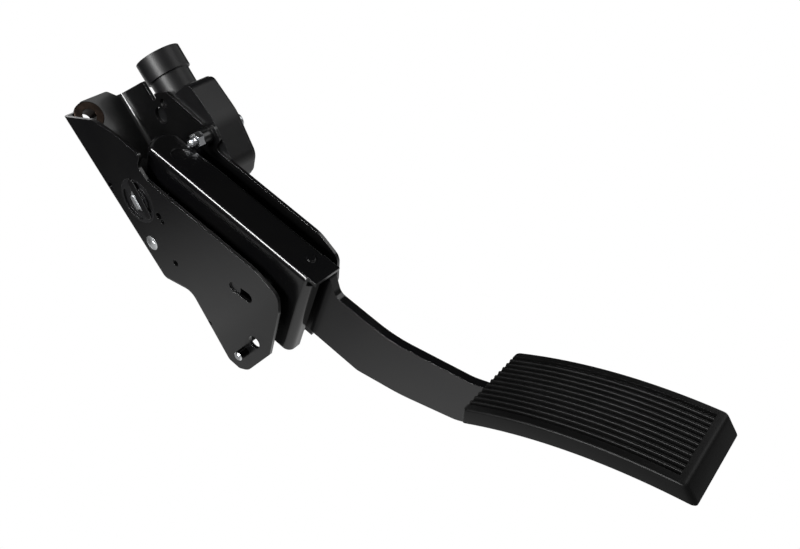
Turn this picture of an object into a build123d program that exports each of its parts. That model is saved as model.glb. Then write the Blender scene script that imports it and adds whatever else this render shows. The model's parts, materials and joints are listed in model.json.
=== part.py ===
# Suspended accelerator pedal: a folded steel bracket, a pressed lever on a cross shaft, a curved arm
# with a ribbed rubber pad, and a moulded position sensor on the outer flank.
# Frame: X to the driver's right, Y forward to the bulkhead, Z up, in millimetres.
# The origin lies midway between the two bulkhead bolts, on the rear face of the back plate.
from build123d import *
import math
import os

# Mounting
BOLT_SPACING = 90.0          # height between the two bulkhead bolts
BOLT_HOLE_DIA = 8.4          # clearance for an M8 bolt
BUSH_RING_DIA = 17.6         # ring of each mounting bush on the front face
BUSH_RING_HEIGHT = 2.0
BUSH_SPIGOT_DIA = 13.0       # part of the bush that sits in the plate
BUSH_PILOT = 5.0             # the bush stands out behind the plate by this, into the bulkhead's hole

# Bracket sheet
SHEET = 2.0                  # steel thickness of the bracket
NEAR_X = -13.0               # outer face of the near flank
BRACKET_WIDTH = 42.0         # over both flanks
NEAR_BEND_R = 3.0            # outer radius of the fold between back wall and near flank
FAR_BEND_R = 5.0
FLANK_REACH = 110.0          # sheet drawn forward of the back plate before it is trimmed
PLATE_TOP_Z = 54.6           # upper edge of the back plate
CREST_LEFT = 6.0             # from the near flank to the raised middle of the plate

FOLD_BELOW_BOLT = 12.0       # from the lower bolt to the fold where the back wall steps forward
STEP_HEIGHT = 14.0
STEP_Z = -BOLT_SPACING / 2 - FOLD_BELOW_BOLT

# Back wall in side view, from top to bottom: Y, Z and corner radius
BACK_WALL = [(0, 70, 0), (0, STEP_Z, 6), (-17.3, STEP_Z - STEP_HEIGHT, 8), (-11.5, -131.5, 0)]

# Outlines of the flanks: Y, Z and corner radius
NEAR_FLANK = [(5, -109.4, 0), (5, 53.5, 0), (-26.9, 37.6, 14), (-38.6, 23.5, 30), (-49, 6.8, 2.5),
              (-41.5, 4, 3), (-41.7, -5.5, 6), (-86, -74, 22), (-92, -92, 7), (-84.4, -100.5, 10),
              (-55.7, -120.6, 1.5), (-27, -125.8, 12), (-19.8, -123, 4), (-11.2, -109.4, 0)]
FAR_FLANK = [(5, -109.4, 0), (5, 51.2, 0), (-27.6, 46.8, 1.5), (-27.6, 34.2, 0.8), (-30.8, 34.2, 0.8),
             (-30.8, 37.4, 1), (-36, 36.2, 4), (-42.8, 33.4, 5), (-57.2, 6.5, 3), (-65.5, 4, 4),
             (-63.5, -6.5, 4), (-54.5, -7, 3), (-97.5, -76, 22), (-101, -92, 7), (-90, -103.5, 10),
             (-55.7, -122, 1.5), (-27, -126.5, 12), (-19.8, -123, 4), (-11.2, -109.4, 0)]

# Pivot of the lever
PIVOT_Y = -22.0
PIVOT_Z = -11.5
SHAFT_DIA = 14.0
RUNNING_GAP = 0.05           # radial clearance of a running fit
SEAT_GAP = 0.02              # radial clearance of a pressed or welded seat
BUSH_HOLE_DIA = 27.0         # pivot bush seat in each flank
HUB_DIA = 23.0               # inner hub of the pivot bushes, inside the springs
HUB_END_GAP = 0.3            # between a hub and the wall of the channel
POCKET_WALL = 1.3            # plastic left between a pocket of the near bush and its edges
POCKET_DEPTH = 1.6
POCKET_SWEEP = 104.0         # degrees
TENON = (8.6, 3.2)           # flat end of the shaft, tall and wide
TENON_OFFSET = 3.2
CLIP = (25.0, 5.4)           # spring strap over the shaft end, tall and wide
CLIP_OFFSET = -3.4
CLIP_THICK = 0.8

# Lever channel, measured in its own plane: U runs down the web from the pivot, W runs backwards
WEB_ANGLE = 58.0             # slope of the web below the horizontal, towards the driver
CHANNEL_SHEET = 2.0
NEAR_GAP = 6.0               # from the near flank to the channel
FAR_GAP = 11.0               # from the channel to the far flank
WEB_W = -33.5                # front face of the web
WALL_BACK_W = 27.0           # rear edge of the walls at the lower end
CHANNEL_TOP_U = -9.0         # crown of the rounded top end
CHANNEL_SHOULDER_U = -3.9    # where the crown meets the walls
CHANNEL_END_U = 117.0        # lower end of the walls
WEB_TONGUE = 2.6             # the web stands out past the walls by this
WEB_BEND_R = 3.2             # outer radius between web and walls
END_CORNER_R = 4.5           # outer radius where the near wall turns in at the lower end
END_FLANGE = 9.0             # inward flange at the lower end of the near wall
RELIEF = 5.0                 # notch between that flange and the web
BOSS_R = 16.0                # walls around the pivot
WALL_TAPER_U = (52.0, 84.0)  # the walls grow deeper between these

# Pedal arm, a flat bar on edge, drawn in U and W
ARM_THICK = 5.0
ARM_TOP_U = 70.0             # the arm reaches this far up inside the channel
ARM_STEP_U = 125.5           # the front edge steps back just below the channel
ARM_FRONT_W = -20.0          # front edge of the straight stretch
ARM_BACK_W = 17.0            # rear edge of the straight stretch
ARM_KINK_U = 153.0           # where the rear edge turns forward
WELD_GAP = 0.02

# Rubber pad, whose face is an arc in the side view
PAD_NEAR_X = -13.0
PAD_WIDTH = 50.0
PAD_TOP = (216.9, -43.7)     # upper end of the face, U and W
PAD_LOW = (306.9, -96.2)     # lower end of the face
PAD_TOP_CUT = (0.27, 0.96)   # direction of the upper end face
PAD_LOW_CUT = (0.84, 0.55)   # direction of the lower end face
PAD_BULGE = 5.0              # height of the arc over its chord
PAD_THICK = 8.6
PAD_CORNER_R = 2.5
PAD_EDGE_R = 1.0
RIB_COUNT = 13
RIB_PITCH = 3.62
RIB_WIDTH = 1.9
RIB_HEIGHT = 1.6
RIB_STOP = 4.0               # plain strip at the lower end
PLATE_THICK = 2.0
PLATE_DEPTH = 4.6            # from the pad's face to the plate
PLATE_MARGIN = 2.4           # rubber outside the plate
PLATE_ENDS = 3.0             # rubber beyond the plate's ends
PAD_GAP = 0.15               # between rubber and steel
LIP_WIDTH = 4.0              # rubber lips that hold the plate

# Return springs around the pivot, one on each side of the channel
NEAR_WIRE = 2.0
NEAR_TURNS = 1
FAR_WIRE = 2.5
FAR_TURNS = 2
COIL_R = 14.5                # mean radius of both coils
COIL_GAP = 0.08              # between neighbouring turns
COIL_STEP = 24               # degrees of coil in each short straight run
LEG_EYE = (32.0, -6.0)       # where that leg enters the wall, in U and W
HOOK_IN = 3.5                # how far the other leg reaches through the wall
LEG_TAIL = 4.0               # the fixed leg runs past its stud by this

# Fasteners and stops
ANCHOR = (-10.4, -35.5)      # spring anchor stud on the near flank, Y and Z
ANCHOR_DIA = 9.0
ANCHOR_NECK = 5.0
FAR_ANCHOR_DIA = 6.0
FAR_ANCHOR_NECK = 4.5
LOCATOR = (-36.0, -114.2)    # locating stud at the bottom of the near flank
LOCATOR_DIA = 5.6
LOCATOR_OUT = 6.5            # it stands out of the flank by this
IDLE_STOP_DIA = 13.0
IDLE_STOP_Z = 4.0
IDLE_STOP_LENGTH = 17.0
IDLE_GAP = 0.25              # between the stop and the lever at rest
STOP_DIA = 10.0
STOP_HEIGHT = 4.0
STOP_X = -4.0
STOP_Z = -103.0
STEM_DIA = 5.0

# Position sensor on the far flank
SENSOR_DEPTH = 19.5
SENSOR_TOP = 41.5            # upper edge of the sensor above the pivot
COVER_THICK = 3.5
COVER_INSET = 0.7
ROTOR_DIA = 26.0
ROTOR_THICK = 7.0
ROTOR_OFFSET = 5.5           # from the flank to the rotor
SEAL_DIA = 24.0
SEAL_THICK = 2.0
NECK_OUT = 14.1              # connector axis outside the far flank
NECK_BACK = -9.0             # connector axis in front of the pivot
NECK_DIA = 24.6
COLLAR_DIA = 27.6
COLLAR_LOW_Z = 43.5
COLLAR_TOP_Z = 57.0
SOCKET_DIA = 20.4
SOCKET_FLOOR_Z = 38.0
TERMINAL_PITCH = 4.2
TERMINAL_SIZE = 1.2
TERMINAL_TOP_Z = 50.0
TERMINAL_ROOT = 3.0
TERMINAL_GAP = 0.03
SCREW_DIA = 5.0
SCREW_GAP = 0.25             # radial clearance of the sensor screws
SCREW_HEAD_DIA = 9.0
SCREW_HEAD = 3.0
SCREW_FRONT = (-57.5, 0.5)   # front sensor screw, Y and Z
SCREW_REAR = (-10.5, 5.5)
SCREW_COLLAR = (9.0, 6.5)    # drawn collar of the flank around the front screw, diameter and height
SCREW_PAST_NUT = 4.0
NUT_ACROSS = 8.0
NUT_THICK = 4.0

# Side outline of the sensor, measured from the pivot: Y, Z and corner radius
SENSOR_SIDE = [(-40.5, SENSOR_TOP, 5), (-43.5, 16.5, 30), (-38.5, -9.5, 10), (-28, -17, 8), (0, -19.5, 20),
               (18, -10.5, 10), (18, SENSOR_TOP - 6, 8), (10, SENSOR_TOP, 5)]

# Small holes in the flanks: Y, Z and diameter
NEAR_HOLES = [(-4.6, 4.3, 4.6), (-32.8, -24.7, 4.2), (-33.0, -28.7, 2.8), (-21.3, -51.9, 4.0),
              (-48.9, -111.0, 8.0), (-18.4, -91.7, 2.8)]
FAR_HOLES = [(-35.0, 29.8, 5.4), (-26.4, 25.3, 10.0)]
LANCE = (-64.0, -82.0, 17.0, 6.4)        # Y, Z, length and width of the slot with the tongue
LANCE_ANGLE = 50.7
TONGUE = (8.0, 3.5)                      # its length, and its root behind the slot's end

FAR_X = NEAR_X + BRACKET_WIDTH
NEAR_IN = NEAR_X + SHEET
FAR_IN = FAR_X - SHEET
CHANNEL_NEAR_X = NEAR_IN + NEAR_GAP
CHANNEL_FAR_X = FAR_IN - FAR_GAP
CHANNEL_WIDTH = CHANNEL_FAR_X - CHANNEL_NEAR_X
CHANNEL_MID_X = (CHANNEL_NEAR_X + CHANNEL_FAR_X) / 2
ARM_X = CHANNEL_FAR_X - CHANNEL_SHEET - WELD_GAP - ARM_THICK
SENSOR_OUT = FAR_X + SENSOR_DEPTH
ROTOR_X = FAR_X + ROTOR_OFFSET
PIVOT = (PIVOT_Y, PIVOT_Z)
FAR_ANCHOR = (ANCHOR[0], ANCHOR[1] - 1)
FRONT_NUT_X = FAR_IN - SCREW_COLLAR[1]
DOWN = (-math.cos(math.radians(WEB_ANGLE)), -math.sin(math.radians(WEB_ANGLE)))


def yz_plane(x):
    """Plane across the object at X, with Y and Z as its own axes."""
    return Plane(origin=(x, 0, 0), x_dir=(0, 1, 0), z_dir=(1, 0, 0))


def lever_plane(x):
    """Plane across the object at X, with U down the web and W backwards from the pivot."""
    return Plane(origin=(x, PIVOT_Y, PIVOT_Z), x_dir=(0, DOWN[0], DOWN[1]), z_dir=(1, 0, 0))


def web_plane(w):
    """Plane square to the web at depth W, with X across, U down the web and its normal backwards."""
    y, z = from_lever(0, w)
    return Plane(origin=(0, y, z), x_dir=(1, 0, 0), z_dir=(0, -DOWN[1], DOWN[0]))


def back_plane(y, z=0, x=0):
    """Plane parallel to the back plate, whose normal points at the driver."""
    return Plane(origin=(x, y, z), x_dir=(1, 0, 0), z_dir=(0, -1, 0))


def from_lever(u, w):
    """Y and Z of a point given in U and W."""
    return (PIVOT_Y + DOWN[0] * u - DOWN[1] * w, PIVOT_Z + DOWN[1] * u + DOWN[0] * w)


def rounded(points, radii):
    """Closed face with its own radius at each corner."""
    return make_face(FilletPolyline(*points, radius=radii, close=True))


def rod(x, length, dia, at):
    """Round bar along X, at a place given in Y and Z."""
    return extrude(yz_plane(x) * Pos(at[0], at[1]) * Circle(dia / 2), length)


def stub(y, z, x, length, dia):
    """Round bar from the plane Y towards the driver."""
    return extrude(back_plane(y, z, x) * Circle(dia / 2), length)


# Bracket: one U of folded sheet, trimmed to the outlines of its flanks
def outline(table, y0=0, z0=0):
    """Closed face from a table of Y, Z and corner radius."""
    return rounded([(y0 + y, z0 + z) for y, z, r in table], [r for y, z, r in table])


def folded_block(inset, near_r, far_r):
    """Filled block within the sheet, with its two folds rounded from top to bottom."""
    top, low = BACK_WALL[0], BACK_WALL[-1]
    side = outline([(-FLANK_REACH, top[1], 0)] + BACK_WALL + [(-FLANK_REACH, low[1], 0)])
    if inset:
        side = offset(side, -inset)
    block = extrude(yz_plane(NEAR_X + inset) * side, BRACKET_WIDTH - 2 * inset)
    for x, radius in ((NEAR_X + inset, near_r), (FAR_X - inset, far_r)):
        fold = block.edges().filter_by(lambda e: abs((e @ 0.5).X - x) < 0.01 and (e @ 0.5).Y > -FLANK_REACH / 4)
        block = fillet(fold, radius)
    return block


def plate_crest():
    """Part of the back plate that rises above the flanks."""
    left, right, low = NEAR_X + CREST_LEFT, FAR_X - FAR_BEND_R, PLATE_TOP_Z - 10
    points = [(left, low), (left + 5.5, PLATE_TOP_Z), (right - 5, PLATE_TOP_Z), (right, low + 5),
              (right, low)]
    return extrude(back_plane(0) * rounded(points, [0, 6, 3, 2, 0]), SHEET)


def bracket():
    middle = NEAR_X + BRACKET_WIDTH / 2
    near_side = extrude(yz_plane(NEAR_X - 1) * outline(NEAR_FLANK), middle - NEAR_X + 1)
    far_side = extrude(yz_plane(middle) * outline(FAR_FLANK), FAR_X - middle + 1)
    sheet = folded_block(0, NEAR_BEND_R, FAR_BEND_R)
    sheet -= folded_block(SHEET, NEAR_BEND_R - SHEET, FAR_BEND_R - SHEET)
    body = sheet & (near_side + far_side)
    body += plate_crest()
    body += rod(FAR_IN - SCREW_COLLAR[1], SCREW_COLLAR[1] + 0.5, SCREW_COLLAR[0], SCREW_FRONT)
    body -= near_flank_holes()
    body -= far_flank_holes()
    body -= back_holes()
    return body + lanced_tab()


def near_flank_holes():
    start, through = NEAR_X - 1, SHEET + 2
    tools = rod(start, through, BUSH_HOLE_DIA + 2 * SEAT_GAP, PIVOT)
    for y, z, dia in NEAR_HOLES:
        tools += rod(start, through, dia, (y, z))
    tools += rod(start, through, ANCHOR_DIA + 2 * SEAT_GAP, ANCHOR)
    tools += rod(start, through, LOCATOR_DIA + 2 * SEAT_GAP, LOCATOR)
    y, z, length, wide = LANCE
    slot = Pos(y, z) * SlotOverall(length, wide, rotation=LANCE_ANGLE)
    return tools + extrude(yz_plane(start) * slot, through)


def far_flank_holes():
    start, through = FAR_IN - 1, SHEET + 2
    deep = through + SCREW_COLLAR[1]
    tools = rod(start, through, BUSH_HOLE_DIA + 2 * SEAT_GAP, PIVOT)
    for y, z, dia in FAR_HOLES:
        tools += rod(start, through, dia, (y, z))
    tools += rod(start, through, FAR_ANCHOR_DIA + 2 * SEAT_GAP, FAR_ANCHOR)
    for place in (SCREW_FRONT, SCREW_REAR):
        tools += rod(FAR_X + 1 - deep, deep, SCREW_DIA + 2 * SCREW_GAP, place)
    return tools


def back_holes():
    tools = Part()
    for side in (-1, 1):
        tools += stub(1, side * BOLT_SPACING / 2, 0, SHEET + 2, BUSH_SPIGOT_DIA + 2 * SEAT_GAP)
    tools += stub(1, IDLE_STOP_Z, CHANNEL_MID_X, SHEET + 2, STEM_DIA + 2 * SEAT_GAP)
    return tools + stub(-10, STOP_Z, STOP_X, 14, STEM_DIA + 2 * SEAT_GAP)


def lanced_tab():
    """Tongue of the slanted slot, pushed half in and joined to the sheet at its upper end."""
    y, z, length, wide = LANCE
    long, root = TONGUE
    rise, a = length / 2 - root, math.radians(LANCE_ANGLE)
    shape = Pos(y + math.cos(a) * rise, z + math.sin(a) * rise) * Rectangle(long, wide - 0.6,
                                                                             rotation=LANCE_ANGLE)
    return extrude(yz_plane(NEAR_X + SHEET / 2) * shape, SHEET)


# Bushes, shaft and clip
def mount_bush(side):
    """Flanged steel bush for a bulkhead bolt, with a pilot behind the plate."""
    z = side * BOLT_SPACING / 2
    ring = stub(-SHEET, z, 0, BUSH_RING_HEIGHT, BUSH_RING_DIA)
    ring = chamfer(ring.edges().group_by(Axis.Y)[0], 0.5)
    spigot = stub(BUSH_PILOT, z, 0, BUSH_PILOT + SHEET, BUSH_SPIGOT_DIA)
    spigot = chamfer(spigot.edges().group_by(Axis.Y)[-1], 0.8)
    length = BUSH_PILOT + SHEET + BUSH_RING_HEIGHT
    return ring + spigot - stub(BUSH_PILOT + 1, z, 0, length + 2, BOLT_HOLE_DIA)


def near_bush():
    """Moulded bush in the near flank, with two curved pockets beside the shaft."""
    end = CHANNEL_NEAR_X - HUB_END_GAP
    bush = rod(NEAR_X, SHEET, BUSH_HOLE_DIA, PIVOT) + rod(NEAR_IN, end - NEAR_IN, HUB_DIA, PIVOT)
    bush -= rod(NEAR_X - 1, end - NEAR_X + 2, SHAFT_DIA + 2 * RUNNING_GAP, PIVOT)
    inner, outer = SHAFT_DIA / 2 + POCKET_WALL, BUSH_HOLE_DIA / 2 - POCKET_WALL
    for start in (-POCKET_SWEEP / 2, 180 - POCKET_SWEEP / 2):
        pocket = SlotArc(CenterArc((0, 0), (inner + outer) / 2, start, POCKET_SWEEP), outer - inner)
        bush -= extrude(yz_plane(NEAR_X - 1) * Pos(*PIVOT) * pocket, POCKET_DEPTH + 1)
    return bush


def far_bush():
    start = CHANNEL_FAR_X + HUB_END_GAP
    bush = rod(FAR_IN, SHEET, BUSH_HOLE_DIA, PIVOT) + rod(start, FAR_IN - start, HUB_DIA, PIVOT)
    return bush - rod(start - 1, FAR_X - start + 2, SHAFT_DIA + 2 * RUNNING_GAP, PIVOT)


def shaft_clip():
    """Spring strap across the near bush that keeps the shaft in."""
    shape = Pos(PIVOT_Y + CLIP_OFFSET, PIVOT_Z) * SlotOverall(*CLIP, rotation=98)
    strap = extrude(yz_plane(NEAR_X - CLIP_THICK) * shape, CLIP_THICK)
    return fillet(strap.edges().group_by(Axis.X)[0], CLIP_THICK / 3)


def pivot_shaft():
    start = NEAR_X + 0.6
    shaft = rod(start, ROTOR_X - 0.3 - start, SHAFT_DIA, PIVOT)
    shaft = chamfer(shaft.edges().group_by(Axis.X)[0], 0.6)
    end = Pos(PIVOT_Y + TENON_OFFSET, PIVOT_Z) * SlotOverall(*TENON, rotation=98)
    tenon = extrude(yz_plane(NEAR_X - 0.4) * end, 1.4)
    drive = extrude(yz_plane(ROTOR_X - 0.5) * Pos(*PIVOT) * Rectangle(8, 5), ROTOR_THICK - 1)
    return shaft + tenon + drive


# Studs and stops
def near_anchor():
    stud = rod(NEAR_X - 1, SHEET + 1, ANCHOR_DIA, ANCHOR)
    stud = chamfer(stud.edges().group_by(Axis.X)[0], 0.4)
    stud += rod(NEAR_IN, CHANNEL_NEAR_X - 0.4 - NEAR_IN, ANCHOR_NECK, ANCHOR)
    notch = Pos(ANCHOR[0] - ANCHOR_DIA / 2, ANCHOR[1] + ANCHOR_DIA / 20) * Circle(ANCHOR_DIA * 0.22)
    return stud - extrude(yz_plane(NEAR_X - 1.5) * notch, 1.3)


def far_anchor():
    """Stud riveted flush into the far flank, because the sensor seats over it."""
    reach = FAR_IN - CHANNEL_FAR_X - 0.4
    neck = rod(FAR_IN - reach, reach, FAR_ANCHOR_NECK, FAR_ANCHOR)
    return neck + rod(FAR_IN, SHEET - 0.05, FAR_ANCHOR_DIA, FAR_ANCHOR)


def locating_stud():
    stud = rod(NEAR_X - LOCATOR_OUT, LOCATOR_OUT + SHEET, LOCATOR_DIA, LOCATOR)
    stud = chamfer(stud.edges().group_by(Axis.X)[0], 0.7)
    return stud + rod(NEAR_IN, 1.2, LOCATOR_DIA + 2, LOCATOR)


def idle_stop():
    """Rubber buffer on the back plate that the crown of the lever rests against."""
    stem = stub(-0.2, IDLE_STOP_Z, CHANNEL_MID_X, SHEET, STEM_DIA)
    buffer = extrude(back_plane(-SHEET, IDLE_STOP_Z, CHANNEL_MID_X) * Circle(IDLE_STOP_DIA / 2),
                     IDLE_STOP_LENGTH, taper=6)
    lever_side = extrude(lever_plane(CHANNEL_MID_X - 20) * Pos(CHANNEL_TOP_U - IDLE_GAP + 50, 0)
                         * Rectangle(100, 100), 40)
    return stem + buffer - lever_side


def back_wall_y(z):
    """Front face of the lowest stretch of the back wall at height Z."""
    (y0, z0, r0), (y1, z1, r1) = BACK_WALL[-2:]
    lean = math.atan2(y1 - y0, z0 - z1)
    return y0 + (z0 - z) * math.tan(lean) - SHEET / math.cos(lean)


def full_travel_stop():
    """Rubber button on the back wall that the near wall of the lever meets at full throttle."""
    y = back_wall_y(STOP_Z + STOP_DIA / 2) - 0.05
    button = stub(y, STOP_Z, STOP_X, STOP_HEIGHT, STOP_DIA)
    button = fillet(button.edges().group_by(Axis.Y)[0], 1.0)
    return button + stub(y + SHEET + 1.5, STOP_Z, STOP_X, SHEET + 1.5, STEM_DIA)


# Torsion springs
def leg_turn(place, bearing, side):
    """Angle at which a straight leg leaves the coil to pass a place at a bearing distance."""
    dy, dz = place[0] - PIVOT_Y, place[1] - PIVOT_Z
    return math.degrees(math.atan2(dz, dy) + side * math.acos((COIL_R + bearing) / math.hypot(dy, dz)))


def coil_point(turn):
    a = math.radians(turn)
    return (PIVOT_Y + COIL_R * math.cos(a), PIVOT_Z + COIL_R * math.sin(a))


def spring(x, way, wire, turns, anchor, neck):
    """One wire in short straight runs: a leg on a stud, a coil along way times X, a leg and its hook."""
    eye = from_lever(*LEG_EYE)
    bearing = (neck + wire) / 2 + 0.05
    start, finish = leg_turn(anchor, bearing, 1), leg_turn(eye, 0, -1)
    turned = (finish - start) % 360 + 360 * turns
    steps = round(turned / COIL_STEP)
    advance = way * (wire + COIL_GAP) * turned / 360
    a, first, last = math.radians(start), coil_point(start), coil_point(finish)
    foot = (anchor[0] - bearing * math.cos(a), anchor[1] - bearing * math.sin(a))
    reach = 1 + LEG_TAIL / math.hypot(foot[0] - first[0], foot[1] - first[1])
    points = [(x, first[0] + (foot[0] - first[0]) * reach, first[1] + (foot[1] - first[1]) * reach)]
    for i in range(steps + 1):
        points.append((x + advance * i / steps, *coil_point(start + turned * i / steps)))
    end, bend = x + advance, 1.2 * wire
    length = math.hypot(eye[0] - last[0], eye[1] - last[1])
    for angle in (0, 30, 60, 90):
        back = bend * (1 - math.sin(math.radians(angle))) / length
        rise = bend * (1 - math.cos(math.radians(angle)))
        y, z = eye[0] + (last[0] - eye[0]) * back, eye[1] + (last[1] - eye[1]) * back
        points.append((end + way * rise, y, z))
    wall = CHANNEL_NEAR_X if way > 0 else CHANNEL_FAR_X
    points.append((wall + way * (CHANNEL_SHEET + HOOK_IN), *eye))
    path = Polyline(*points)
    section = Plane(origin=path @ 0, z_dir=path % 0) * Circle(wire / 2)
    return sweep(section, path=path, transition=Transition.RIGHT)


def near_spring():
    return spring(NEAR_IN + NEAR_WIRE / 2 + 0.2, 1, NEAR_WIRE, NEAR_TURNS, ANCHOR, ANCHOR_NECK)


def far_spring():
    return spring(FAR_IN - FAR_WIRE / 2 - 0.25, -1, FAR_WIRE, FAR_TURNS, FAR_ANCHOR, FAR_ANCHOR_NECK)


# Lever channel: a drawn trough with a rounded top end
def channel_plan(inset, low_u, corner):
    """Outline of the trough seen square to the web, in X and U."""
    x0, x1 = CHANNEL_NEAR_X + inset, CHANNEL_FAR_X - inset
    shoulder = CHANNEL_SHOULDER_U + inset
    crown = ThreePointArc((x0, shoulder), (CHANNEL_MID_X, CHANNEL_TOP_U + inset), (x1, shoulder))
    face = make_face(crown + Polyline((x1, shoulder), (x1, low_u), (x0, low_u), (x0, shoulder)))
    ends = face.vertices().filter_by(lambda v: v.Y < shoulder + 0.1)
    face = fillet(ends, 4.0 - inset)
    low = face.vertices().filter_by(lambda v: v.Y > low_u - 0.1 and v.X < CHANNEL_MID_X)
    return fillet(low, corner)


def trough(inset, low_u, corner, depth):
    """Filled trough with its front edges rounded."""
    plane = web_plane(WEB_W + inset)
    body = extrude(plane * channel_plan(inset, low_u, corner), depth)
    front = body.faces().sort_by(lambda f: (f.center() - plane.origin).dot(plane.z_dir))[0]
    return fillet(front.edges(), WEB_BEND_R - inset)


def wall_outline():
    """Side outline of the walls, in U and W."""
    low_u = CHANNEL_END_U + 8
    narrow_u, deep_u = WALL_TAPER_U
    points = [(-14, WEB_W - 1), (low_u, WEB_W - 1), (low_u, WALL_BACK_W), (deep_u, WALL_BACK_W),
              (narrow_u, BOSS_R), (-14, BOSS_R)]
    return rounded(points, [0, 0, 0, 20, 20, 14])


def lever_channel():
    depth = WALL_BACK_W - WEB_W
    end = CHANNEL_END_U
    body = trough(0, end, END_CORNER_R, depth)
    body -= trough(CHANNEL_SHEET, end - CHANNEL_SHEET, END_CORNER_R - CHANNEL_SHEET, depth)
    across = CHANNEL_WIDTH - CHANNEL_SHEET - END_FLANGE
    mouth = Pos(CHANNEL_FAR_X - CHANNEL_SHEET - across / 2, end) * Rectangle(across, 12)
    body -= extrude(web_plane(WEB_W + CHANNEL_SHEET) * mouth, depth)
    notch = Pos(CHANNEL_NEAR_X + END_FLANGE / 2, end) * Rectangle(END_FLANGE + 2, 5)
    body -= extrude(web_plane(WEB_W + CHANNEL_SHEET) * notch, RELIEF - CHANNEL_SHEET)
    inside = CHANNEL_WIDTH - 2 * CHANNEL_SHEET
    tongue = Pos(CHANNEL_MID_X, end - 3) * Rectangle(inside + 1.6, 6 + 2 * WEB_TONGUE)
    body += extrude(web_plane(WEB_W) * tongue, CHANNEL_SHEET)
    body = body & extrude(lever_plane(CHANNEL_NEAR_X - 5) * wall_outline(), CHANNEL_WIDTH + 10)
    body -= rod(CHANNEL_NEAR_X - 1, CHANNEL_WIDTH + 2, SHAFT_DIA + 2 * SEAT_GAP, PIVOT)
    eye = from_lever(*LEG_EYE)
    body -= rod(CHANNEL_NEAR_X - 1, CHANNEL_SHEET + 2, NEAR_WIRE + 0.8, eye)
    body -= rod(CHANNEL_FAR_X - CHANNEL_SHEET - 1, CHANNEL_SHEET + 2, FAR_WIRE + 0.8, eye)
    dimple = Pos(CHANNEL_MID_X - 0.5, 9.5) * Circle(4.2)
    body -= extrude(web_plane(WEB_W - 1) * dimple, 1.5, taper=-20)
    boss = Pos(CHANNEL_MID_X + 1.5, 106) * Circle(2.6)
    return body + extrude(web_plane(WEB_W + 0.5) * boss, -1.3, taper=15)


# Pedal arm and pad
def pad_arc():
    """Centre, radius, chord direction, outward direction and length of the arc of the pad's face."""
    du, dw = PAD_LOW[0] - PAD_TOP[0], PAD_LOW[1] - PAD_TOP[1]
    chord = math.hypot(du, dw)
    along = (du / chord, dw / chord)
    out = (along[1], -along[0])
    radius = (chord * chord / 4 + PAD_BULGE * PAD_BULGE) / (2 * PAD_BULGE)
    drop = radius - PAD_BULGE
    middle = ((PAD_TOP[0] + PAD_LOW[0]) / 2, (PAD_TOP[1] + PAD_LOW[1]) / 2)
    centre = (middle[0] - out[0] * drop, middle[1] - out[1] * drop)
    return centre, radius, along, out, 2 * radius * math.asin(chord / 2 / radius)


def pad_point(s, depth):
    """Point at arc length S from the upper end and a depth under the face, in U and W."""
    centre, radius, along, out, length = pad_arc()
    a = (s - length / 2) / radius
    r = radius - depth
    return (centre[0] + r * (math.cos(a) * out[0] + math.sin(a) * along[0]),
            centre[1] + r * (math.cos(a) * out[1] + math.sin(a) * along[1]))


def pad_band(top, bottom, s0, s1, x0, x1):
    """Curved layer of the pad between two depths, two arc lengths and two X places."""
    upper = ThreePointArc(pad_point(s0, top), pad_point((s0 + s1) / 2, top), pad_point(s1, top))
    lower = ThreePointArc(pad_point(s0, bottom), pad_point((s0 + s1) / 2, bottom), pad_point(s1, bottom))
    ends = Line(pad_point(s0, top), pad_point(s0, bottom)) + Line(pad_point(s1, top), pad_point(s1, bottom))
    return extrude(lever_plane(x0) * make_face(upper + lower + ends), x1 - x0)


def pad_ends(x0, width, grow=0):
    """Block between the two slanted end faces of the pad, or a little beyond them."""
    reach = 20
    along = pad_arc()[2]
    quad = []
    for place, cut, signs in ((PAD_TOP, PAD_TOP_CUT, (-1, 1)), (PAD_LOW, PAD_LOW_CUT, (1, -1))):
        size = math.hypot(*cut)
        shift = -grow * signs[1]
        u, w = place[0] + shift * along[0], place[1] + shift * along[1]
        for sign in signs:
            quad.append((u + sign * reach * cut[0] / size, w + sign * reach * cut[1] / size))
    return extrude(lever_plane(x0) * make_face(Polyline(*quad, close=True)), width)


def pedal_pad():
    x0, x1 = PAD_NEAR_X, PAD_NEAR_X + PAD_WIDTH
    length = pad_arc()[4]
    pad = pad_band(0, PAD_THICK, -12, length + 12, x0, x1) & pad_ends(x0, PAD_WIDTH)
    corners = pad.edges().filter_by(GeomType.LINE).filter_by(lambda e: abs(e.tangent_at(0).X) < 0.5)
    pad = fillet(corners, PAD_CORNER_R)
    rim = pad.faces().filter_by(GeomType.CYLINDER).sort_by(lambda f: -f.area)[0]
    pad = fillet(rim.edges(), PAD_EDGE_R)
    margin = (PAD_WIDTH - (RIB_COUNT - 1) * RIB_PITCH - RIB_WIDTH) / 2
    for i in range(RIB_COUNT - 1):
        groove = x0 + margin + RIB_WIDTH + i * RIB_PITCH
        pad -= pad_band(-1, RIB_HEIGHT, -12, length - RIB_STOP, groove, groove + RIB_PITCH - RIB_WIDTH)
    pocket = PLATE_MARGIN - PAD_GAP
    plate_low = PLATE_DEPTH + PLATE_THICK + PAD_GAP
    pad -= pad_band(PLATE_DEPTH - PAD_GAP, plate_low, PLATE_ENDS - PAD_GAP, length - PLATE_ENDS + PAD_GAP,
                    x0 + pocket, x1 - pocket)
    lips = PLATE_MARGIN + LIP_WIDTH
    pad -= pad_band(plate_low - 0.5, PAD_THICK + 3, PLATE_ENDS, length - PLATE_ENDS - LIP_WIDTH,
                    x0 + lips, x1 - lips)
    return pad - pad_band(PLATE_DEPTH - PAD_GAP, PAD_THICK + 8, -15, PLATE_ENDS + 3, ARM_X - 0.3,
                          ARM_X + ARM_THICK + 0.3)


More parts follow.
